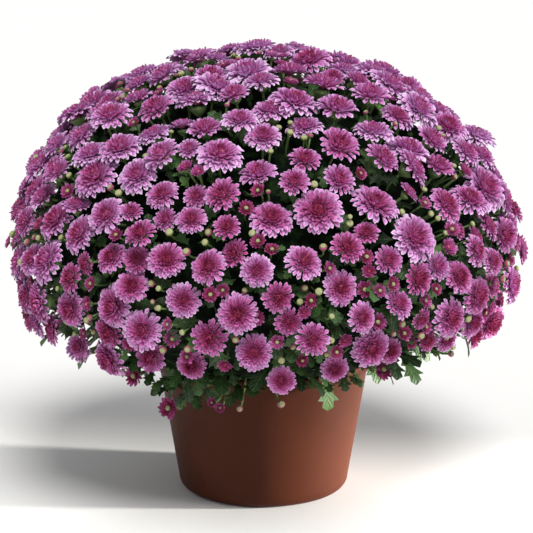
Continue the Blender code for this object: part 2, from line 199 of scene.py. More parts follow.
def takeForm(obj, materialIndex=0):
    # reads the object's mesh into a form, and removes the object
    mesh = obj.data
    form = {}
    for key, (items, field, kind, width) in meshLists.items():
        values = np.empty(len(getattr(mesh, items)) * width, kind)
        getattr(mesh, items).foreach_get(field, values)
        form[key] = values.reshape(-1, width) if width > 1 else values
    form["verts"] = form["verts"].astype(float)
    form["look"][:] = materialIndex
    uv = np.zeros(len(mesh.loops) * 2, np.float32)
    if mesh.uv_layers:
        mesh.uv_layers[0].data.foreach_get("uv", uv)
    form["uv"] = uv.reshape(-1, 2)
    for key in ("rank", "tone"):
        form[key] = np.zeros(len(mesh.vertices), np.float32)
    bpy.data.objects.remove(obj)
    bpy.data.meshes.remove(mesh)
    return form


def joinedForms(forms):
    shifts = {"verts": 0, "edges": 0, "loopVerts": 0}
    parts = {key: [] for key in forms[0]}
    for form in forms:
        for key, values in form.items():
            parts[key].append(values + shifts[countedIn[key]] if key in countedIn else values)
        for key in shifts:
            shifts[key] += len(form[key])
    return {key: np.concatenate(values) for key, values in parts.items()}


def setDown(frames, points):
    # the points as each 3 x 4 frame places them
    return np.einsum("kij,nj->kni", frames[:, :, :3], points) + frames[:, None, :, 3]


def stamped(form, frames, ranks=None, tones=None):
    count = len(frames)
    out = {"verts": setDown(frames, form["verts"]).reshape(-1, 3)}
    steps = np.arange(count)[:, None, None]
    for key, other in countedIn.items():
        values = form[key].reshape(len(form[key]), -1)
        out[key] = (values[None] + steps * len(form[other])).reshape(-1, *form[key].shape[1:])
    for key in ("sharp", "look", "rank", "tone"):
        out[key] = np.tile(form[key], count)
    out["uv"] = np.tile(form["uv"], (count, 1))
    if ranks is not None:
        out["rank"] = np.repeat(np.asarray(ranks, np.float32), len(form["verts"]))
    if tones is not None:
        out["tone"] = out["tone"] + np.repeat(np.asarray(tones, np.float32), len(form["verts"]))
    return out


def pieceFrom(name, form, looks):
    mesh = bpy.data.meshes.new(name)
    for items, key in (("vertices", "verts"), ("edges", "edges"), ("loops", "loopVerts"), ("polygons", "starts")):
        getattr(mesh, items).add(len(form[key]))
    for key, (items, field, kind, width) in meshLists.items():
        getattr(mesh, items).foreach_set(field, form[key].astype(kind).ravel())
    mesh.uv_layers.new(name="growthMap").data.foreach_set("uv", form["uv"].astype(np.float32).ravel())
    for key in ("rank", "tone"):
        mesh.attributes.new(key, "FLOAT", "POINT").data.foreach_set("value", form[key].astype(np.float32))
    for look in looks:
        mesh.materials.append(look)
    mesh.update()
    mesh.validate()
    return placed(name, mesh)


def framesFrom(across, side, facing, scale, centres):
    frames = np.empty((len(centres), 3, 4))
    for column, way in enumerate((across, side, facing)):
        frames[:, :, column] = way * scale[:, None]
    frames[:, :, 3] = centres
    return frames


def spunFrames(facing, spin, scale, centres):
    # a frame for each facing direction, turned about it by spin
    helper = np.where(np.abs(facing[:, 2:3]) > 0.9, [[1.0, 0, 0]], [[0, 0, 1.0]])
    across = unitRows(np.cross(helper, facing))
    side = np.cross(facing, across)
    turned = across * np.cos(spin)[:, None] + side * np.sin(spin)[:, None]
    return framesFrom(turned, np.cross(facing, turned), facing, scale, centres)


# Modelling by hand: a primitive, then edit mode


def placed(name, data):
    obj = bpy.data.objects.new(name, data)
    bpy.context.scene.collection.objects.link(obj)
    return obj


def deselectAll():
    if bpy.context.mode != "OBJECT":
        bpy.ops.object.mode_set(mode="OBJECT")
    bpy.ops.object.select_all(action="DESELECT")


def editAll():
    bpy.ops.object.mode_set(mode="EDIT")
    bpy.ops.mesh.select_all(action="SELECT")


def endEdit(sharpAngle=None):
    bpy.ops.object.mode_set(mode="OBJECT")
    if sharpAngle:
        bpy.ops.object.shade_smooth_by_angle(angle=math.radians(sharpAngle))


def pickVerts(obj, indices):
    sheet = bmesh.from_edit_mesh(obj.data)
    sheet.verts.ensure_lookup_table()
    bpy.ops.mesh.select_all(action="DESELECT")
    for index in indices:
        sheet.verts[index].select = True
    sheet.select_flush_mode()
    bmesh.update_edit_mesh(obj.data)


def bladeForm(name, plan):
    # a grid along X, shaped row by row, with an underside that shares its edge
    last = len(plan["rows"]) - 1
    deselectAll()
    bpy.ops.mesh.primitive_grid_add(x_subdivisions=last, y_subdivisions=2, size=1, location=(0.5, 0, 0))
    obj = bpy.context.object
    obj.name = name
    bpy.ops.object.transform_apply(location=True, rotation=True, scale=True)
    start = [v.co.copy() for v in obj.data.vertices]
    bpy.ops.object.mode_set(mode="EDIT")
    bpy.ops.mesh.select_mode(type="VERT")
    for row, (place, width, lift, cup, sweep) in enumerate(plan["rows"]):
        before = row / last
        inRow = [i for i, co in enumerate(start) if abs(co.x - before) < 0.01]
        pickVerts(obj, inRow)
        bpy.ops.transform.resize(value=(1, width, 1), center_override=(before, 0, 0))
        bpy.ops.transform.translate(value=(place - before, 0, lift))
        pickVerts(obj, [i for i in inRow if abs(start[i].y) > 0.49])
        bpy.ops.transform.translate(value=(sweep, 0, cup))
    count = len(start)
    inner = [i for i, co in enumerate(start) if 0.01 < co.x < 0.99 and abs(co.y) < 0.49]
    bpy.ops.mesh.select_all(action="SELECT")
    bpy.ops.mesh.duplicate()
    bpy.ops.mesh.flip_normals()
    pickVerts(obj, [i + count for i in inner])
    bpy.ops.transform.translate(value=(0, 0, -plan["thickness"]))
    bpy.ops.mesh.select_all(action="SELECT")
    bpy.ops.mesh.remove_doubles(threshold=0.0001)
    endEdit(75)
    return takeForm(obj)


def turnedObject(name, profile, sides, sharpAngle=40):
    # a filled circle, extruded and scaled up the profile
    deselectAll()
    radius, height = profile[0]
    bpy.ops.mesh.primitive_circle_add(vertices=sides, radius=radius, fill_type="NGON", location=(0, 0, height))
    obj = bpy.context.object
    obj.name = name
    bpy.ops.object.transform_apply(location=True, rotation=True, scale=True)
    editAll()
    for nextRadius, nextHeight in profile[1:]:
        bpy.ops.mesh.extrude_region_move(TRANSFORM_OT_translate={"value": (0, 0, nextHeight - height)})
        scale = nextRadius / radius
        bpy.ops.transform.resize(value=(scale, scale, 1), center_override=(0, 0, nextHeight))
        radius, height = nextRadius, nextHeight
    bpy.ops.mesh.select_all(action="SELECT")
    bpy.ops.mesh.normals_make_consistent(inside=False)
    endEdit(sharpAngle)
    return obj


def turnedForm(name, plan, materialIndex=0):
    return takeForm(turnedObject(name, plan["profile"], plan["sides"], 180), materialIndex)


def wrapAround(form):
    # a map that goes about the form's own axis, and up it
    verts = form["verts"]
    up = (verts[:, 2] - verts[:, 2].min()) / np.ptp(verts[:, 2])
    around = np.arctan2(verts[:, 1], verts[:, 0]) / fullTurn % 1
    ends = np.append(form["starts"][1:], len(form["loopVerts"]))
    for start, end in zip(form["starts"], ends):
        corners = form["loopVerts"][start:end]
        turns = around[corners]
        if np.ptp(turns) > 0.5 and len(corners) < 6:
            turns = np.where(turns < 0.5, turns + 1, turns)
        form["uv"][start:end] = np.stack([turns, up[corners]], axis=1)
    return form


# Petals, leaves and buds, each modelled once at a length of one. A blade's rows, from root to tip,
# give each row's place, its width, its lift, and how far its edges are raised and swept

outerPetal = {
    "rows": ((0, 0.12, 0, 0.02, 0), (0.45, 0.25, 0.050, 0.070, 0), (0.83, 0.35, 0.050, 0.085, 0),
             (1.0, 0.20, 0.020, 0.045, -0.080)),
    "thickness": 0.028,
}

middlePetal = {
    "rows": ((0, 0.13, 0, 0.02, 0), (0.45, 0.26, 0.000, 0.080, 0), (0.83, 0.38, 0.050, 0.110, 0),
             (1.0, 0.22, 0.120, 0.070, -0.080)),
    "thickness": 0.030,
}

innerPetal = {
    "rows": ((0, 0.15, 0, 0.02, 0), (0.66, 0.40, 0.010, 0.120, 0), (1.0, 0.24, 0.170, 0.090, -0.08)),
    "thickness": 0.040,
}

lobedLeaf = {
    "rows": ((0, 0.05, 0, 0, 0), (0.14, 0.16, 0.02, 0.01, 0.02), (0.27, 0.50, 0.035, 0.02, 0.07),
             (0.40, 0.24, 0.04, 0.03, -0.02), (0.52, 0.42, 0.04, 0.02, 0.04), (0.64, 0.74, 0.03, 0.01, 0.09),
             (0.76, 0.34, 0.01, 0.03, -0.02), (0.88, 0.40, -0.03, 0.02, 0.03), (1.0, 0.04, -0.09, 0, 0)),
    "thickness": 0.018,
}

bud = {
    "profile": ((0.25, -0.95), (0.66, -0.74), (0.97, -0.28), (1.0, 0.12), (0.84, 0.46), (0.50, 0.66), (0.18, 0.64)),
    "sides": 10, "sizes": (0.0026, 0.0041),
}

heart = {
    "profile": ((0.10, -0.16), (0.24, -0.04), (0.26, 0.12), (0.16, 0.24), (0.05, 0.27)),
    "sides": 8,
}

calyx = {
    "profile": ((0.08, -0.66), (0.20, -0.56), (0.33, -0.40), (0.38, -0.28), (0.20, -0.22)),
    "sides": 8,
}

openBloom = {
    "variants": 8,
    "grow": 1.08,  # petals of neighbours pass between each other
    "age": 1.0,
    # petals, reach of the tips, height of the tips, length, rise in degrees, petal form
    "rings": (
        (23, 1.00, -0.12, 0.62, -12, "outer"),
        (22, 0.90, 0.02, 0.60, 1, "outer"),
        (20, 0.78, 0.13, 0.56, 14, "middle"),
        (17, 0.65, 0.22, 0.50, 27, "middle"),
        (14, 0.51, 0.29, 0.44, 40, "inner"),
        (11, 0.37, 0.34, 0.38, 53, "inner"),
        (8, 0.23, 0.38, 0.34, 66, "inner"),
        (5, 0.10, 0.40, 0.30, 80, "inner"),
    ),
}

freshBloom = {
    "variants": 5, "grow": 0.92, "age": 0.80,
    "rings": (
        (18, 0.98, 0.00, 0.64, 4, "outer"),
        (17, 0.84, 0.14, 0.60, 17, "middle"),
        (14, 0.69, 0.25, 0.54, 30, "inner"),
        (11, 0.53, 0.33, 0.48, 44, "inner"),
        (9, 0.36, 0.40, 0.42, 58, "inner"),
        (6, 0.18, 0.44, 0.38, 74, "inner"),
    ),
}

youngBloom = {
    "variants": 4, "grow": 1.0, "age": 0.56,
    "rings": (
        (15, 0.98, 0.20, 0.78, 18, "inner"),
        (13, 0.78, 0.34, 0.70, 36, "inner"),
        (9, 0.54, 0.44, 0.60, 54, "inner"),
    ),
}


def bloomForm(plan, petals, button, rng):
    # rings of petals round a button, each petal a little out of line
    parts = [dict(button)]
    for index, (count, reach, height, length, rise, kind) in enumerate(plan["rings"]):
        turn = (np.arange(count) + 0.5 * (index % 2)) * fullTurn / count + rng.normal(0, 0.05, count)
        tilt = np.radians(rise + rng.normal(0, 5, count))
        roll = rng.normal(0, 0.22, count)
        outward = ringPoints(turn, 1, np.zeros(count))
        side = np.stack([-np.sin(turn), np.cos(turn), np.zeros(count)], axis=1)
        up = np.array([0.0, 0, 1])
        along = outward * np.cos(tilt)[:, None] + up * np.sin(tilt)[:, None]
        over = np.cross(along, side)
        across = side * np.cos(roll)[:, None] + over * np.sin(roll)[:, None]
        over = np.cross(along, across)
        mean = math.radians(rise)
        roots = outward * (reach - length * math.cos(mean)) + up * (height - length * math.sin(mean))
        size = length * rng.uniform(0.88, 1.08, count)
        frames = framesFrom(along, across, over, size, roots)
        rank = np.full(count, reach * plan["age"])
        parts.append(stamped(petals[kind], frames, ranks=rank, tones=rng.normal(0, 0.045, count)))
    return joinedForms(parts)


# Materials


def newMaterial(name):
    made = bpy.data.materials.new(name)
    made.use_nodes = True
    return made, made.node_tree


def setSocket(socket, value):
    # value is a number, a colour or another node's output
    if isinstance(value, bpy.types.NodeSocket):
        socket.id_data.links.new(value, socket)
    elif value is not None:
        socket.default_value = (*value, 1) if isinstance(value, tuple) else value


def mathNode(operation, first, second=None, clamp=False):
    source = first if isinstance(first, bpy.types.NodeSocket) else second
    made = source.id_data.nodes.new("ShaderNodeMath")
    made.operation = operation
    made.use_clamp = clamp
    setSocket(made.inputs[0], first)
    setSocket(made.inputs[1], second)
    return made.outputs[0]


def times(first, second):
    return mathNode("MULTIPLY", first, second)


def rampNode(factor, *stops):
    ramp = factor.id_data.nodes.new("ShaderNodeValToRGB")
    ramp.color_ramp.interpolation = "EASE"
    elements = ramp.color_ramp.elements
    while len(elements) < len(stops):
        elements.new(0.5)
    for element, (place, colour) in zip(elements, stops):
        element.position = place
        element.color = (*colour, 1)
    setSocket(ramp.inputs["Fac"], factor)
    return ramp.outputs["Color"]


def mixColour(factor, first, second):
    made = factor.id_data.nodes.new("ShaderNodeMix")
    made.data_type = "RGBA"
    for place, value in ((0, factor), (6, first), (7, second)):
        setSocket(made.inputs[place], value)
    return made.outputs[2]


def attributeNode(tree, name):
    made = tree.nodes.new("ShaderNodeAttribute")
    made.attribute_name = name
    return made.outputs["Fac"]


def growthMap(tree):
    # along runs from root to tip, and across from edge to edge
    made = tree.nodes.new("ShaderNodeUVMap")
    made.uv_map = "growthMap"
    split = tree.nodes.new("ShaderNodeSeparateXYZ")
    tree.links.new(made.outputs["UV"], split.inputs[0])
    return split.outputs["X"], split.outputs["Y"]


def noiseNode(tree, scale, detail=3):
    coordinates = tree.nodes.new("ShaderNodeTexCoord")
    made = tree.nodes.new("ShaderNodeTexNoise")
    made.inputs["Scale"].default_value = scale
    made.inputs["Detail"].default_value = detail
    tree.links.new(coordinates.outputs["Object"], made.inputs["Vector"])
    return made.outputs["Fac"]


def waves(across, count):
    # ridges side by side, count of them over the map
    return mathNode("SINE", times(across, count * fullTurn))


def awayFromRib(across):
    return mathNode("ABSOLUTE", mathNode("SUBTRACT", across, 0.5))


def finished(made, colour, roughness, bump, strength, distance, more=()):
    # more holds any further inputs of the shader, by name
    shader = made.node_tree.nodes["Principled BSDF"].inputs
    relief = made.node_tree.nodes.new("ShaderNodeBump")
    for name, value in (("Strength", strength), ("Distance", distance), ("Height", bump)):
        setSocket(relief.inputs[name], value)
    for name, value in (("Base Color", colour), ("Roughness", roughness), ("Normal", relief.outputs["Normal"]), *more):
        setSocket(shader[name], value)
    return made


petalFinish = {
    "centre": (0.280, 0.010, 0.055), "heart": (0.410, 0.020, 0.135), "body": (0.520, 0.075, 0.325),
    "lilac": (0.570, 0.215, 0.545), "pale": (0.820, 0.640, 0.900), "veins": 4,
}


def petalMaterial():
    # rank is how far out the petal reaches, and tone is how it differs from its neighbours, together with painted light
    # that pales the blooms high on the dome
    made, tree = newMaterial("petal")
    finish = petalFinish
    along, across = growthMap(tree)
    rank = attributeNode(tree, "rank")
    # petals are darker at their bases and pale towards their tips: partly the petals' own colour, partly painted shade
    # where the petals crowd together at their bases
    towardsTip = times(times(mathNode("POWER", along, 2.6), rank), 0.50)
    age = mathNode("ADD", times(rank, 0.46), towardsTip)
    age = mathNode("ADD", age, attributeNode(tree, "tone"), clamp=True)
    colour = rampNode(age, (0.02, finish["centre"]), (0.22, finish["heart"]), (0.42, finish["body"]),
                      (0.66, finish["lilac"]), (0.98, finish["pale"]))
    away = awayFromRib(across)
    # painted highlight: the edges of each petal are mixed towards the pale colour, more on the older, paler petals
    edge = times(mathNode("POWER", times(away, 2.0), 2.5), times(age, 0.85))
    trough = mathNode("SUBTRACT", 1.0, times(away, 5.0), clamp=True)
    colour = mixColour(times(trough, 0.38), colour, finish["body"])
    colour = mixColour(edge, colour, finish["pale"])
    ridges = waves(across, finish["veins"])
    vein = times(mathNode("MAXIMUM", ridges, 0.0), 0.14)
    colour = mixColour(vein, colour, finish["heart"])
    return finished(made, colour, 0.50, ridges, 0.25, 0.0002, [("Sheen Weight", 0.06)])


leafFinish = {
    "deep": (0.012, 0.032, 0.010), "green": (0.040, 0.100, 0.024), "fresh": (0.100, 0.205, 0.050),
    "vein": (0.160, 0.260, 0.090), "veins": 6,
}


def leafMaterial():
    made, tree = newMaterial("leaf")
    finish = leafFinish
    along, across = growthMap(tree)
    shade = mathNode("ADD", attributeNode(tree, "tone"), times(noiseNode(tree, 90), 0.35), clamp=True)
    colour = rampNode(shade, (0.0, finish["deep"]), (0.5, finish["green"]), (1.0, finish["fresh"]))
    away = awayFromRib(across)
    midrib = mathNode("LESS_THAN", away, 0.030)
    slanted = mathNode("SUBTRACT", along, times(away, 0.55))
    ridges = waves(slanted, finish["veins"])
    sideVeins = times(mathNode("GREATER_THAN", ridges, 0.93), 0.6)
    veins = times(mathNode("MAXIMUM", midrib, sideVeins), 0.55)
    colour = mixColour(veins, colour, finish["vein"])
    return finished(made, colour, 0.52, ridges, 0.35, 0.0004)


def stalkMaterial():
    made, tree = newMaterial("stalk")
    grain = noiseNode(tree, 160)
    colour = rampNode(grain, (0.2, (0.085, 0.160, 0.045)), (0.8, (0.190, 0.290, 0.095)))
    return finished(made, colour, 0.60, grain, 0.3, 0.0003)


budFinish = {
    "green": (0.080, 0.145, 0.035), "yellow": (0.300, 0.340, 0.100), "pink": (0.430, 0.050, 0.180),
    "paleTopAndHighlight": (0.560, 0.560, 0.300), "folds": 10,
}


def budMaterial():
    # up runs from the calyx to the tight petals at the top, and around goes about the bud
    made, tree = newMaterial("bud")
    green, yellow, pink, paleTopAndHighlight, folds = budFinish.values()
    around, up = growthMap(tree)
    ridges = waves(around, folds)
    fold = times(mathNode("MAXIMUM", ridges, 0.0), 0.45)
    # the tops of the buds fade to cream: partly the pale tips of the tight petals, partly a painted highlight where the
    # light from above falls
    plain = rampNode(up, (0.0, green), (0.45, green), (0.72, yellow), (1.0, paleTopAndHighlight))
    ringed = rampNode(up, (0.0, green), (0.35, green), (0.52, pink), (0.84, pink), (0.95, yellow), (1.0, paleTopAndHighlight))
    colour = mixColour(mathNode("GREATER_THAN", attributeNode(tree, "tone"), 0.5), plain, ringed)
    colour = mixColour(fold, colour, green)
    return finished(made, colour, 0.55, ridges, 0.6, 0.0005)


def innerPaintedShadeMaterial():
    made, tree = newMaterial("innerFoliagePaintedShade")
    mottle = noiseNode(tree, 80, 6)
    # painted shade: the mass is coloured near black, standing in for the shade deep inside the dome
    colour = rampNode(mottle, (0.42, (0.002, 0.004, 0.002)), (0.56, (0.006, 0.014, 0.005)),
                      (0.72, (0.020, 0.046, 0.013)))
    return finished(made, colour, 0.85, mottle, 0.9, 0.006, [("Specular IOR Level", 0.08)])


potFinish = {
    "dark": (0.050, 0.0108, 0.0036), "light": (0.062, 0.0140, 0.0049),
    "dust": (0.095, 0.030, 0.013), "smoothest": 0.46, "roughest": 0.58,
}


def potMaterial():
    made, tree = newMaterial("potPlastic")
    finish = potFinish
    cloud = noiseNode(tree, 14, 4)
    fine = noiseNode(tree, 700, 2)
    colour = rampNode(cloud, (0.3, finish["dark"]), (0.7, finish["light"]))
    colour = mixColour(times(fine, 0.10), colour, finish["dust"])
    rough = tree.nodes.new("ShaderNodeMapRange")
    for name, value in (("To Min", finish["smoothest"]), ("To Max", finish["roughest"]), ("Value", cloud)):
        setSocket(rough.inputs[name], value)
    return finished(made, colour, rough.outputs["Result"], fine, 0.18, 0.0002, [("Specular IOR Level", 0.12)])


def soilMaterial():
    made, tree = newMaterial("pottingSoil")
    crumbs = noiseNode(tree, 260, 5)
    colour = rampNode(crumbs, (0.3, (0.012, 0.008, 0.005)), (0.6, (0.045, 0.028, 0.017)),
                      (0.8, (0.110, 0.075, 0.048)))
    return finished(made, colour, 0.95, crumbs, 0.8, 0.002)


def floorMaterial():
    made, tree = newMaterial("studioFloor")
    shader = tree.nodes["Principled BSDF"]
    shader.inputs["Base Color"].default_value = (0.86, 0.86, 0.85, 1)
    shader.inputs["Roughness"].default_value = 0.9
    return made


# Pieces


def sideOf(turn):
    # which of the dome's equal sides this angle lies in
    return np.floor(turn % fullTurn / fullTurn * dome["sides"]).astype(int) % dome["sides"]


def sideMask(points, side):
    return sideOf(np.arctan2(points[:, 1], points[:, 0])) == side


def sprayGroups(places):
    # sprays by the side of the dome that they grow on
    groups = [[] for _ in range(dome["sides"])]
    for number in range(bloomSpread["sprays"]):
        middle = places["points"][places["spray"] == number].mean(axis=0)
        groups[sideOf(math.atan2(middle[1], middle[0]))].append(number)
    return groups


bloomMix = {
    "fresh": 0.34,  # share of the blooms not yet fully out
    "freshBelow": 0.0175,  # all blooms smaller than this are fresh, or young
    "youngBelow": 0.012, "shift": 0.0036, "tilt": 0.16, "tone": 0.06, "sizes": (0.80, 1.12),
    # how large the blooms are drawn at these heights, since the dome is fullest at its top
    "heights": (0.19, 0.26, 0.34, 0.44), "growth": (0.90, 0.95, 1.02, 1.10),
    "paintedTopLight": ((0.28, 0.46), (0.0, 0.19)),  # painted light: blooms high on the dome are painted paler, as if lit more strongly from above
    "seed": 7,
}


def dressBlooms(places):
    # each bloom's stage, and how it is turned and set beside its neighbours
    plan = bloomMix
    rng = np.random.default_rng(plan["seed"])
    count = len(places["radii"])
    stage = np.where(rng.random(count) < plan["fresh"], "fresh", "open")
    stage[(stage == "open") & (places["radii"] < plan["freshBelow"])] = "fresh"
    stage[places["radii"] < plan["youngBelow"]] = "young"
    plans = {"young": youngBloom, "fresh": freshBloom, "open": openBloom}
    grow = np.array([plans[name]["grow"] for name in stage])
    height = places["points"][:, 2]
    grow *= np.interp(height, plan["heights"], plan["growth"])
    dressed = dict(places)
    dressed["stage"] = stage
    dressed["radii"] = places["radii"] * grow * rng.uniform(*plan["sizes"], count)
    dressed["facing"] = unitRows(places["facing"] + rng.normal(0, plan["tilt"], (count, 3)))
    dressed["points"] = places["points"] + rng.normal(0, plan["shift"], (count, 3))
    dressed["spin"] = rng.uniform(0, fullTurn, count)
    # the tone is a random difference, plus painted light that makes the blooms paler towards the top of the dome
    dressed["tone"] = rng.normal(0, plan["tone"], count) + np.interp(height, *plan["paintedTopLight"])
    return dressed


tuckedBlooms = {
    "most": 110, "tries": 8, "sizes": (0.0125, 0.0170),
    "near": 0.80,  # how near a neighbour, as a share of both radii together
    "free": 0.62,  # how far from the other blooms, as a share of its own radius
    "depth": 0.0045,
    "low": 0.285,  # few of them grow lower than this
    "fewer": 0.9, "tilt": 0.2, "tones": (-0.02, 0.12), "seed": 29,
}


def tuckIn(places):
    # smaller blooms close beside the larger ones, partly under their petals
    plan = tuckedBlooms
    rng = np.random.default_rng(plan["seed"])
    points, radii = places["points"].copy(), places["radii"].copy()
    hosts = []
    for host in rng.permutation(len(radii)):
        normal = places["normals"][host]
        for _ in range(plan["tries"]):
            radius = rng.uniform(*plan["sizes"])
            way = rng.normal(0, 1, 3)
            way -= normal * (way @ normal)
            reach = (radii[host] + radius) * plan["near"]
            spot = points[host] + way / np.linalg.norm(way) * reach - normal * plan["depth"]
            apart = np.linalg.norm(points - spot, axis=1) - radii
            apart[host] = 1
            low = spot[2] < plan["low"] and rng.random() < plan["fewer"]
            if low or apart.min() < radius * plan["free"]:
                continue
            points, radii = np.vstack([points, spot]), np.append(radii, radius)
            hosts.append(host)
            break
        if len(hosts) == plan["most"]:
            break
    count = len(hosts)
    tucked = {name: np.concatenate([values, values[hosts]]) for name, values in places.items()}
    tucked["points"], tucked["radii"] = points, radii
    tucked["facing"][-count:] = unitRows(tucked["facing"][-count:] + rng.normal(0, plan["tilt"], (count, 3)))
    tucked["stage"][-count:] = "fresh"
    tucked["spin"][-count:] = rng.uniform(0, fullTurn, count)
    tucked["tone"][-count:] += rng.uniform(*plan["tones"], count)
    print("tucked blooms:", count)
    return tucked


def makeBlooms(places, forms, looks):
    rng = np.random.default_rng(bloomMix["seed"] + 1)
    for side, sprays in enumerate(sprayGroups(places)):
        parts = []
        for index in np.flatnonzero(np.isin(places["spray"], sprays)):
            choice = forms[places["stage"][index]]
            form = choice[rng.integers(len(choice))]
            place = [places[key][[index]] for key in ("facing", "spin", "radii", "points")]
            parts.append(stamped(form, spunFrames(*place), tones=places["tone"][[index]]))
        piece = pieceFrom(f"bloomSprays_{side + 1}", joinedForms(parts), looks)
        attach(piece, "root")
        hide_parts(*[f"bloom_spray_{number + 1:02d}" for number in sprays])
    print("blooms:", len(places["radii"]), dict(zip(*np.unique(places["stage"], return_counts=True))))


gapFill = {
    "youngBlooms": 110, "youngSizes": (0.0072, 0.0098), "youngClear": 0.0045, "buds": 220,
    "budClear": 0.0020, "seed": 23,
}


def gapPlaces(places, count, clear, rng):
    # places between the blooms, each clear of what is already there
    found = []
    tries = spiralPoints(4000, 0.4)
    tries = toDome(tries + rng.normal(0, 0.004, tries.shape))
    for point in tries[rng.permutation(len(tries))]:
        apart = np.linalg.norm(places["points"] - point, axis=1) - places["radii"]
        if apart.min() < clear:
            continue
        if found and np.linalg.norm(np.array(found) - point, axis=1).min() < clear * 2.4:
            continue
        found.append(point)
        if len(found) == count:
            break
    return np.array(found)


def clearOfBlooms(points, places, share):
    # points is leaves x samples x 3: true where a leaf passes through no bloom
    clear = np.ones(len(points), bool)
    for centre, facing, radius in zip(places["points"], places["facing"], places["radii"]):
        away = points - centre
        high = away @ facing
        flat = np.sqrt(np.maximum((away**2).sum(axis=2) - high**2, 0))
        inside = (flat < radius * share) & (high > -radius * 0.50) & (high < radius * 1.5)
        clear &= ~inside.any(axis=1)
    return clear


def leafFrames(roots, along, up, size):
    across = unitRows(np.cross(up, along))
    return framesFrom(along, across, np.cross(along, across), size, roots)


domeLeaf = {
    "count": 130,  # on each side of the dome
    "tries": 2400, "depths": (0.006, 0.032), "sizes": (0.015, 0.032), "rises": (0.15, 1.1),
    "scatter": 0.65, "highest": 0.006,
    "high": -0.012,  # tips above this show best, and make up most of the leaves
    "mostHigh": 0.7,
    # places on a leaf that are kept out of the blooms
    "marks": ((0.25, 0, 0), (0.5, 0.2, 0), (0.5, -0.2, 0), (0.65, 0.35, 0), (0.65, -0.35, 0), (0.85, 0, 0),
              (1.0, 0, -0.05)),
}


def domeLeaves(places, side, rng):
    plan = domeLeaf
    many = plan["tries"]
    heads = spiralPoints(6000, 0.2)
    mine = heads[sideMask(heads, side)]
    surface = mine[rng.integers(len(mine), size=many)]
    normals = domeNormals(surface)
    depth = rng.uniform(*plan["depths"], many)
    size = rng.uniform(*plan["sizes"], many)
    along = normals * rng.uniform(*plan["rises"], many)[:, None] + rng.normal(0, plan["scatter"], (many, 3))
    along = unitRows(along)
    roots = surface - normals * depth[:, None] - along * (size * 0.3)[:, None]
    up = unitRows(normals + rng.normal(0, 0.35, (many, 3)) + [0, 0, 0.5])
    frames = leafFrames(roots, along, up, size)
    samples = setDown(frames, np.array(plan["marks"]))
    tip = ((samples[:, -1] - surface) * normals).sum(axis=1)
    clear = clearOfBlooms(samples, places, 1.06) & (tip < plan["highest"])
    high = np.flatnonzero(clear & (tip > plan["high"]))
    deep = np.flatnonzero(clear & (tip <= plan["high"]))
    share = min(len(high), int(plan["count"] * plan["mostHigh"]))
    return frames[np.concatenate([high[:share], deep[: plan["count"] - share]])]


skirtLeaf = {
    "count": 46, "radii": (0.130, 0.240), "height": 0.163, "flatTo": 0.160, "slope": 0.60,
    "loose": (-0.008, 0.014), "droops": (-1.1, 0.2), "scatter": 0.35, "up": (0.5, 1),
    "sizes": (0.015, 0.026), "large": 0.036, "lowest": 0.148,
    "marks": ((0.2, 0, 0), (0.5, 0.2, 0), (0.5, -0.2, 0), (0.65, 0.35, 0), (0.65, -0.35, 0), (1.0, 0, 0)),
}


def hangingLines(plan, turn, radius, height, rng):
    # roots of leaves that grow outwards and hang, the lines they grow along, and their upper sides
    outward = ringPoints(turn, 1, rng.uniform(*plan["droops"], len(turn)))
    along = unitRows(outward + rng.normal(0, plan["scatter"], outward.shape))
    up = unitRows(ringPoints(turn, *plan["up"]) + rng.normal(0, 0.3, outward.shape))
    return ringPoints(turn, radius, height), along, up


def skirtLeaves(places, side, rng):
    # the leaves that hang under the dome's edge, clear of the pot
    plan = skirtLeaf
    many = plan["count"] * 8
    turn = (side + rng.random(many)) * fullTurn / dome["sides"]
    radius = rng.uniform(*plan["radii"], many)
    height = plan["height"] + np.maximum(radius - plan["flatTo"], 0) * plan["slope"] + rng.uniform(*plan["loose"], many)
    lines = hangingLines(plan, turn, radius, height, rng)
    size = np.where(rng.random(many) < 0.12, plan["large"], rng.uniform(*plan["sizes"], many))
    frames = leafFrames(*lines, size)
    samples = setDown(frames, np.array(plan["marks"]))
    inPot = ((np.hypot(samples[..., 0], samples[..., 1]) < 0.125) & (samples[..., 2] < 0.154)).any(axis=1)
    edge = plan["lowest"] + rng.exponential(0.006, many) * rng.choice([-1, 1], many)
    low = samples[..., 2].min(axis=1) < edge
    clear = clearOfBlooms(samples, places, 0.9) & ~inPot & ~(low & (rng.random(many) < 0.8))
    return frames[np.flatnonzero(clear)[: plan["count"]]]


# the fringe of small leaves that hangs over the pot at the front left, as shown
fringe = {
    "count": 34, "degrees": (226, 258), "radii": (0.120, 0.185), "heights": (0.136, 0.176),
    "droops": (-1.3, -0.1), "scatter": 0.4, "up": (1, 0.6), "sizes": (0.014, 0.026), "seed": 31,
}


def fringeLeaves(side):
    plan = fringe
    rng = np.random.default_rng(plan["seed"])
    count = plan["count"]
    turn = np.radians(rng.uniform(*plan["degrees"], count))
    radius = rng.uniform(*plan["radii"], count)
    roots, along, up = hangingLines(plan, turn, radius, rng.uniform(*plan["heights"], count), rng)
    frames = leafFrames(roots, along, up, rng.uniform(*plan["sizes"], count))
    tips = roots + along * 0.02
    clear = (np.hypot(tips[:, 0], tips[:, 1]) > 0.127) & (np.hypot(roots[:, 0], roots[:, 1]) > 0.125)
    return frames[clear & (sideOf(turn) == side)]


stalks = {
    "thickness": 0.0011, "bloomDepth": 0.046, "bloomLoose": 0.006, "budDepth": 0.042,
    "budWidth": 0.75, "looseWidth": 0.8, "mainWidth": 5.0,
    "mainHead": (0.080, 0.178),  # radius and height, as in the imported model
    "mainFoot": (0.575, 0.092),  # share of that radius, and height
}


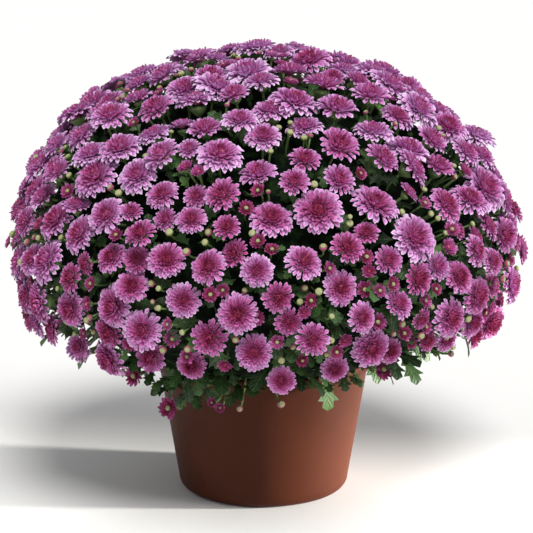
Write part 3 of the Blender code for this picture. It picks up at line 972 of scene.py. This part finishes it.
def stalkForm(name, runs, materialIndex):
    # every run is a list of points, swept as one curve object and made a mesh
    curve = bpy.data.curves.new(name, "CURVE")
    curve.dimensions = "3D"
    curve.bevel_depth = 1.0
    curve.bevel_resolution = 0
    curve.use_fill_caps = True
    for points, width in runs:
        spline = curve.splines.new("POLY")
        spline.points.add(len(points) - 1)
        for place, point in enumerate(points):
            spline.points[place].co = (*point, 1)
            taper = 1.25 - 0.25 * place / (len(points) - 1)
            spline.points[place].radius = width * stalks["thickness"] * taper
    obj = placed(name, curve)
    deselectAll()
    obj.select_set(True)
    bpy.context.view_layer.objects.active = obj
    bpy.ops.object.convert(target="MESH")
    obj = bpy.context.object
    editAll()
    bpy.ops.mesh.remove_doubles(threshold=0.00002)
    bpy.ops.mesh.normals_make_consistent(inside=False)
    endEdit(60)
    return takeForm(obj, materialIndex)


def bentRun(start, end, lean, steps=4):
    # a quadratic bend from start to end, which leaves the start along lean
    middle = start + lean * np.linalg.norm(end - start) * 0.5
    places = np.linspace(0, 1, steps + 1)[:, None]
    return (1 - places) ** 2 * start + 2 * places * (1 - places) * middle + places**2 * end


def mainStem(side):
    radius, height = stalks["mainHead"]
    share, low = stalks["mainFoot"]
    head = ringPoints(fullTurn * (side + 0.5) / dome["sides"], radius, height)
    foot = np.array([head[0] * share, head[1] * share, low])
    return np.array([foot, foot * 0.55 + head * 0.45 + [0, 0, 0.004], head]), stalks["mainWidth"]


def stampYoung(forms, frame, rng, tones=None):
    # a just-opening bloom with its calyx
    young = forms["gapBlooms"][rng.integers(len(forms["gapBlooms"]))]
    tones = None if tones is None else [rng.normal(0, tones)]
    return [stamped(young, frame, tones=tones), stamped(forms["calyx"], frame)]


def makeGreens(places, forms, looks):
    plan = gapFill
    rng = np.random.default_rng(plan["seed"])
    youngPlaces = gapPlaces(places, plan["youngBlooms"], plan["youngClear"], rng)
    taken = {"points": np.concatenate([places["points"], youngPlaces]),
             "radii": np.concatenate([places["radii"], np.full(len(youngPlaces), 0.0065)])}
    budPlaces = gapPlaces(taken, plan["buds"], plan["budClear"], rng)
    print("gap blooms:", len(youngPlaces), "buds:", len(budPlaces))
    leaves = 0
    for side in range(dome["sides"]):
        frames = [domeLeaves(places, side, rng), skirtLeaves(places, side, rng), fringeLeaves(side)]
        frames = np.concatenate(frames)
        leaves += len(frames)
        tones = np.where(rng.random(len(frames)) < 0.14, 0.75, rng.uniform(-0.15, 0.42, len(frames)))
        parts = [stamped(forms["leaf"], frames, tones=tones)]
        runs = [mainStem(side)]
        for index in np.flatnonzero(sideMask(places["points"], side)):
            centre, facing, normal, radius = (places[key][index] for key in ("points", "facing", "normals", "radii"))
            root = centre - normal * stalks["bloomDepth"] + rng.normal(0, stalks["bloomLoose"], 3)
            runs.append((bentRun(centre - facing * radius * 0.60, root, -facing), 1.0))
            frame = spunFrames(facing[None], np.zeros(1), np.array([radius]), centre[None])
            parts.append(stamped(forms["calyx"], frame))
        for kind, group, sizes in (("bud", budPlaces, bud["sizes"]), ("young", youngPlaces, plan["youngSizes"])):
            mine = group[sideMask(group, side)]
            if not len(mine):
                continue
            normals = domeNormals(mine)
            facing = unitRows(facingOf(normals) + rng.normal(0, 0.22, mine.shape))
            size = rng.uniform(*sizes, len(mine))
            tops = mine + normals * rng.uniform(-0.006, 0.005, len(mine))[:, None]
            if kind == "bud":
                frames = spunFrames(facing, rng.uniform(0, 6, len(mine)), size, tops)
                parts.append(stamped(forms["bud"], frames, tones=rng.integers(0, 2, len(mine))))
            else:
                for spot, way, radius in zip(tops, facing, size):
                    frame = spunFrames(way[None], rng.uniform(0, 6, 1), np.array([radius]), spot[None])
                    parts += stampYoung(forms, frame, rng, 0.05)
            for spot, way, normal in zip(tops, facing, normals):
                root = spot - normal * stalks["budDepth"]
                runs.append((bentRun(spot - way * 0.003, root, -way), stalks["budWidth"]))
        loose, looseRuns = makeStragglers(side, forms, rng)
        parts += [*loose, stalkForm(f"stalks_{side}", runs + looseRuns, 1)]
        piece = pieceFrom(f"leafyStem_{side + 1}", joinedForms(parts), looks)
        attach(piece, "root")
        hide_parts(f"leafy_stem_{side + 1}")
    print("leaves:", leaves)


# Blooms and buds that stand out on their own thin stalks under the dome's edge:
# angle in degrees, radius, height, size. Those of less than 5 mm are buds
stragglers = (
    (240, 0.192, 0.135, 0.0125), (231, 0.208, 0.168, 0.0120), (253, 0.178, 0.142, 0.0060),
    (256, 0.182, 0.138, 0.0058), (276, 0.170, 0.140, 0.0042), (306, 0.205, 0.176, 0.0125),
    (322, 0.245, 0.196, 0.0040), (325, 0.236, 0.184, 0.0034), (218, 0.232, 0.188, 0.0040),
    (262, 0.174, 0.136, 0.0034), (20, 0.226, 0.180, 0.0110), (62, 0.214, 0.172, 0.0042),
    (95, 0.196, 0.166, 0.0118), (128, 0.222, 0.180, 0.0040), (150, 0.205, 0.168, 0.0105),
    (183, 0.226, 0.182, 0.0042),
)


def makeStragglers(side, forms, rng):
    parts = []
    runs = []
    for degrees, radius, height, size in stragglers:
        turn = math.radians(degrees)
        if sideOf(turn) != side:
            continue
        outward = ringPoints(turn, 1, 0)
        spot = outward * radius + [0, 0, height]
        facing = unitRows((outward + [0, 0, 0.25] + rng.normal(0, 0.1, 3))[None])
        frame = spunFrames(facing, rng.uniform(0, 6, 1), np.array([size]), spot[None])
        if size < 0.005:
            parts.append(stamped(forms["bud"], frame, tones=[float(rng.integers(0, 2))]))
        else:
            parts += stampYoung(forms, frame, rng)
        root = outward * (radius - 0.050) + [0, 0, height + 0.030]
        runs.append((bentRun(spot - facing[0] * size * 0.6, root, -facing[0], 6), stalks["looseWidth"]))
    return parts, runs


innerFoliagePaintedShade = {
    "depth": 0.036,
    "underside": ((0.02, 0.164), (0.10, 0.165), (0.158, 0.163)),
    "sides": 72, "lumps": 0.016, "lumpSize": 0.020,
}


def makeInnerFoliage(look):
    # the leaves inside the dome as one lumpy mass, coloured near black as painted shade, which the gaps show as a dark
    # mass
    plan = innerFoliagePaintedShade
    profile = list(plan["underside"])
    flat = dome["radius"] - plan["depth"]
    for turn in range(112, 0, -6):
        angle = math.radians(turn)
        tall = (dome["rise"] if turn < 90 else dome["drop"]) - plan["depth"]
        profile.append((flat * math.sin(angle), dome["middle"] + tall * math.cos(angle)))
    profile.append((0.010, dome["middle"] + dome["rise"] - plan["depth"]))
    obj = turnedObject("innerFoliagePaintedShade", profile, plan["sides"], 180)
    editAll()
    bpy.ops.mesh.quads_convert_to_tris()
    endEdit()
    lumps = bpy.data.textures.new("lumps", "CLOUDS")
    lumps.noise_scale = plan["lumpSize"]
    push = obj.modifiers.new("lumps", "DISPLACE")
    push.texture = lumps
    push.texture_coords = "LOCAL"
    push.strength = plan["lumps"]
    push.mid_level = 0.6
    bpy.ops.object.modifier_apply(modifier="lumps")
    obj.data.materials.clear()
    obj.data.materials.append(look)
    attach(obj, "root")


pot = {
    "height": 0.150, "rim": 0.1205, "bodyTop": 0.1170, "base": 0.0940, "round": 0.012,
    "wall": 0.0022, "lip": 0.010, "sides": 144, "holes": 4, "holeRadius": 0.006,
    "holeCircle": 0.055,
}


def wallRadius(height):
    share = (height - pot["round"]) / (pot["height"] - pot["round"])
    return pot["base"] + (pot["bodyTop"] - pot["base"]) * share


def potProfile():
    # from the underside up the outer wall, over the lip and down inside
    top, rim, wall = pot["height"], pot["rim"], pot["wall"]
    flat = pot["base"] - pot["round"]
    lipFoot = top - pot["lip"]
    profile = [(flat * 0.5, 0.0), (flat, 0.0)]
    for turn in (15, 30, 45, 60, 75, 90):
        angle = math.radians(turn)
        profile.append((flat + pot["round"] * math.sin(angle), pot["round"] * (1 - math.cos(angle))))
    profile += [(wallRadius(height), height) for height in (0.04, 0.08, 0.12, lipFoot - 0.0015)]
    profile += [(rim - 0.0012, lipFoot - 0.0009), (rim - 0.0004, lipFoot), (rim, top - 0.0022),
                (rim - 0.0005, top - 0.0008), (rim - 0.0014, top - 0.0001),
                (pot["bodyTop"] - wall * 0.6, top), (pot["bodyTop"] - wall, top - 0.0008)]
    profile += [(wallRadius(height) - wall, height) for height in (lipFoot, 0.08, pot["round"])]
    return profile + [(flat, wall), (0.004, wall)]


def makePot(look):
    obj = turnedObject("moulded_pot", potProfile(), pot["sides"], 50)
    for number in range(pot["holes"]):
        place = ringPoints(fullTurn * (number + 0.5) / pot["holes"], pot["holeCircle"], 0)
        deselectAll()
        bpy.ops.mesh.primitive_cylinder_add(vertices=24, radius=pot["holeRadius"], depth=0.012, location=place)
        drill = bpy.context.object
        cut = obj.modifiers.new("drainHole", "BOOLEAN")
        cut.operation = "DIFFERENCE"
        cut.object = drill
        bpy.context.view_layer.objects.active = obj
        bpy.ops.object.modifier_apply(modifier="drainHole")
        bpy.data.objects.remove(drill)
    obj.data.materials.clear()
    obj.data.materials.append(look)
    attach(obj, "root")
    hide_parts("pot")
    print("pot done")


soil = {
    "top": 0.132, "mound": 0.004, "gap": 0.0006, "sides": 72, "crumbs": 420, "crumbSize": 0.0042,
    "seed": 5,
}


def makeSoil(look):
    plan = soil
    top, mound = plan["top"], plan["mound"]
    rim = wallRadius(top) - pot["wall"] - plan["gap"]
    floor = wallRadius(pot["round"]) - pot["wall"] - plan["gap"]
    profile = [(pot["base"] - pot["round"] - 0.001, pot["wall"] + 0.0003), (floor, pot["round"]), (rim, top)]
    profile += [(rim * share, top + mound * (1 - share**2)) for share in (0.93, 0.8, 0.66, 0.52, 0.38, 0.24, 0.1)]
    body = takeForm(turnedObject("soilBody", profile, plan["sides"], 60))
    deselectAll()
    bpy.ops.mesh.primitive_ico_sphere_add(subdivisions=1, radius=1, location=(0, 0, 0))
    crumb = bpy.context.object
    editAll()
    bpy.ops.transform.vertex_random(offset=0.25, seed=3)
    endEdit()
    crumbForm = takeForm(crumb)
    rng = np.random.default_rng(plan["seed"])
    count = plan["crumbs"]
    reach = np.sqrt(rng.random(count)) * (rim - 0.005)
    turn = rng.uniform(0, fullTurn, count)
    centres = ringPoints(turn, reach, top + mound * (1 - (reach / rim) ** 2))
    size = plan["crumbSize"] * rng.uniform(0.3, 1.0, count)
    frames = spunFrames(unitRows(rng.normal(0, 1, (count, 3))), turn, size, centres)
    piece = pieceFrom("soilTop", joinedForms([body, stamped(crumbForm, frames)]), [look])
    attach(piece, "root")
    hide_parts("potting_soil")
    print("soil done")


# Studio

studio = {
    "distance": 2.0, "cameraHeight": 0.675, "pitch": 12.08, "focalPixels": 1870, "imageSize": 533,
    "axisColumn": 263.5, "sensor": 36,
    "floor": ((30, 0), (34, 0.5), (37, 1.8), (38.5, 3.6), (39, 6.0)),  # its edge is coved, as a backdrop
    "fill": 0.40,
    # each sun's name, the way to it, its strength, its width in degrees and its colour
    "suns": (
        ("sideLamp", (0.85, -0.38, 0.40), 0.6, 22, (1.0, 0.97, 0.94)),
        ("topLamp", (0.12, -0.50, 0.82), 2.7, 26, (1.0, 0.99, 0.97)),
    ),
    # a narrow lamp for the side of the pot, which the dome shades
    "potLamp": {"place": (1.73, -0.14, 0.30), "aim": (0.06, 0.0, 0.050), "power": 760, "width": 9.5, "size": 0.12,
                "blend": 0.5, "colour": (1.0, 0.96, 0.90)},
}


def addLamp(name, kind, place, aim, power, colour):
    lamp = placed(name, bpy.data.lights.new(name, kind))
    lamp.location = place
    lamp.rotation_euler = (Vector(place) - Vector(aim)).to_track_quat("Z", "Y").to_euler()
    lamp.data.energy = power
    lamp.data.color = colour
    return lamp.data


def makeFloor():
    floor = turnedObject("studioFloor", studio["floor"], 64, 60)
    editAll()
    bpy.ops.mesh.flip_normals()
    bpy.ops.mesh.select_all(action="DESELECT")
    endEdit()
    for face in floor.data.polygons:
        face.select = len(face.vertices) > 4 and face.center.z > 1  # the lid that the last extrusion leaves
    bpy.ops.object.mode_set(mode="EDIT")
    bpy.ops.mesh.delete(type="FACE")
    endEdit()
    floor.data.materials.append(floorMaterial())


def makeStudio():
    plan = studio
    makeFloor()
    camera = placed("photoCamera", bpy.data.cameras.new("photoCamera"))
    camera.location = (0, -plan["distance"], plan["cameraHeight"])
    camera.rotation_euler = (math.radians(90 - plan["pitch"]), 0, 0)
    camera.data.sensor_width = plan["sensor"]
    camera.data.lens = plan["focalPixels"] / plan["imageSize"] * plan["sensor"]
    camera.data.shift_x = (plan["imageSize"] / 2 - plan["axisColumn"]) / plan["imageSize"]
    bpy.context.scene.camera = camera
    world = bpy.data.worlds.new("studioWorld")
    bpy.context.scene.world = world
    world.use_nodes = True
    backdrop = world.node_tree.nodes["Background"]
    backdrop.inputs["Color"].default_value = (0.97, 0.98, 1.0, 1)
    backdrop.inputs["Strength"].default_value = plan["fill"]
    for name, way, strength, width, colour in plan["suns"]:
        sun = addLamp(name, "SUN", Vector(way) * 3, (0, 0, 0), strength, colour)
        sun.angle = math.radians(width)
    beam = plan["potLamp"]
    spot = addLamp("potLamp", "SPOT", beam["place"], beam["aim"], beam["power"], beam["colour"])
    spot.spot_size = math.radians(beam["width"])
    spot.spot_blend = beam["blend"]
    spot.shadow_soft_size = beam["size"]
    bpy.context.scene.view_settings.view_transform = "Standard"
    print("studio done")


def buildForms():
    petals = {
        "outer": bladeForm("outerPetal", outerPetal),
        "middle": bladeForm("middlePetal", middlePetal),
        "inner": bladeForm("innerPetal", innerPetal),
    }
    forms = {"leaf": bladeForm("lobedLeaf", lobedLeaf)}
    forms["bud"] = wrapAround(turnedForm("bud", bud, 2))
    forms["calyx"] = turnedForm("calyx", calyx, 1)
    rng = np.random.default_rng(19)
    button = turnedForm("heart", heart)
    for stage, plan in (("open", openBloom), ("fresh", freshBloom), ("young", youngBloom)):
        forms[stage] = [bloomForm(plan, petals, button, rng) for _ in range(plan["variants"])]
    # the just-opening blooms in the gaps, with a green eye
    eye = dict(forms["bud"], verts=forms["bud"]["verts"] * 0.25 + [0, 0, 0.20])
    forms["gapBlooms"] = [joinedForms([dict(form, look=form["look"] + 3), eye]) for form in forms["young"]]
    print("petal faces:", {name: len(form["starts"]) for name, form in petals.items()})
    return forms


def main():
    makeStudio()
    places = tuckIn(dressBlooms(bloomPlaces()))
    forms = buildForms()
    petalLook = petalMaterial()
    makeBlooms(places, forms, [petalLook])
    makeGreens(places, forms, [leafMaterial(), stalkMaterial(), budMaterial(), petalLook])
    makeInnerFoliage(innerPaintedShadeMaterial())
    makePot(potMaterial())
    makeSoil(soilMaterial())
    total = sum(len(p.vertices) - 2 for o in bpy.data.objects if o.type == "MESH" and not o.hide_render
                for p in o.data.polygons)
    print("triangles:", total)


main()
